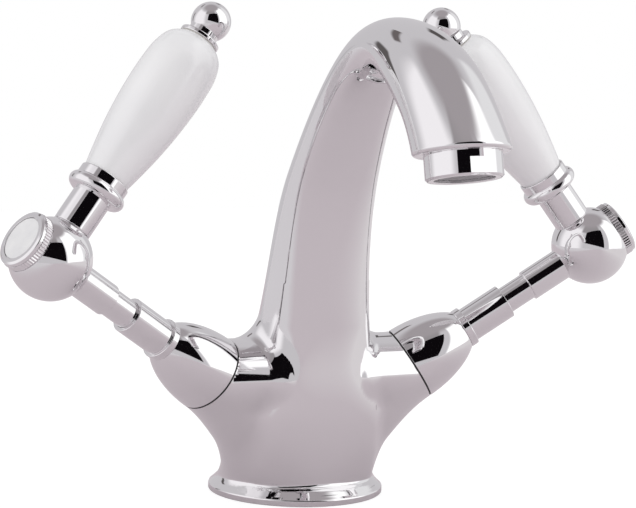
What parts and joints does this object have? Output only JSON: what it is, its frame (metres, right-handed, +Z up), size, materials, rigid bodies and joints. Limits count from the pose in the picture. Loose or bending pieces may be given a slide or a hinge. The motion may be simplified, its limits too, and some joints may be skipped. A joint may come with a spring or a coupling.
{
  "type": "two-handle basin mixer tap",
  "caption": "Deck-mounted basin mixer with a swan-neck spout and porcelain-grip lever handles on slanting quarter-turn ceramic-disc valves, in polished chrome.",
  "frame": {"origin": "centre of the base flange's underside, on the basin's deck", "axes": "+Z up; the spout reaches out along -Y; the hot handle is at -X and the cold handle at +X"},
  "size_m": [0.2318, 0.1584, 0.1685],
  "materials": {
    "chrome": "polished chrome plating on brass",
    "porcelain": "white glazed porcelain",
    "enamel": "white enamel, left bare",
    "disc_ceramic": "lapped ivory alumina",
    "bare_brass": "machined brass",
    "stainless_steel": "plain stainless steel",
    "rubber": "black nitrile rubber",
    "fibre_washer": "red fibre",
    "white_plastic": "white acetal plastic"
  },
  "bodies": {
    "tap_body": {"body_casting": "chrome", "base_seal": "rubber", "aerator_housing": "chrome", "aerator_washer": "rubber", "aerator_insert": "white_plastic", "aerator_screen": "stainless_steel", "hot_inlet_seal": "rubber", "hot_fixed_disc": "disc_ceramic", "hot_headwork_gasket": "fibre_washer", "hot_headwork": "bare_brass", "hot_thrust_washer": "white_plastic", "hot_valve_shroud": "chrome", "hot_cover_sleeve": "chrome", "cold_inlet_seal": "rubber", "cold_fixed_disc": "disc_ceramic", "cold_headwork_gasket": "fibre_washer", "cold_headwork": "bare_brass", "cold_thrust_washer": "white_plastic", "cold_valve_shroud": "chrome", "cold_cover_sleeve": "chrome"},
    "hot_handle": {"hot_moving_disc": "disc_ceramic", "hot_spindle": "bare_brass", "hot_spindle_o_rings": "rubber", "hot_spindle_clip": "stainless_steel", "hot_handle_hub": "chrome", "hot_hub_screw": "stainless_steel", "hot_index_cap": "chrome", "hot_index_disc": "enamel", "hot_lever_stem": "chrome", "hot_lever_ferrule": "chrome", "hot_lower_grip_washer": "fibre_washer", "hot_porcelain_grip": "porcelain", "hot_upper_grip_washer": "fibre_washer", "hot_tie_rod": "stainless_steel", "hot_finial": "chrome"},
    "cold_handle": {"cold_moving_disc": "disc_ceramic", "cold_spindle": "bare_brass", "cold_spindle_o_rings": "rubber", "cold_spindle_clip": "stainless_steel", "cold_handle_hub": "chrome", "cold_hub_screw": "stainless_steel", "cold_index_cap": "chrome", "cold_index_disc": "enamel", "cold_lever_stem": "chrome", "cold_lever_ferrule": "chrome", "cold_lower_grip_washer": "fibre_washer", "cold_porcelain_grip": "porcelain", "cold_upper_grip_washer": "fibre_washer", "cold_tie_rod": "stainless_steel", "cold_finial": "chrome"}
  },
  "joints": [
    {"name": "hot_quarter_turn", "type": "hinge", "parent": "tap_body", "child": "hot_handle", "pos_m": [-0.09983, -0.02675, 0.08625], "axis": [0.8064, 0.2161, -0.5505], "range_deg": [0, 90]},
    {"name": "cold_quarter_turn", "type": "hinge", "parent": "tap_body", "child": "cold_handle", "pos_m": [0.09983, -0.02675, 0.08625], "axis": [0.8064, -0.2161, 0.5505], "range_deg": [0, 90]}
  ]
}
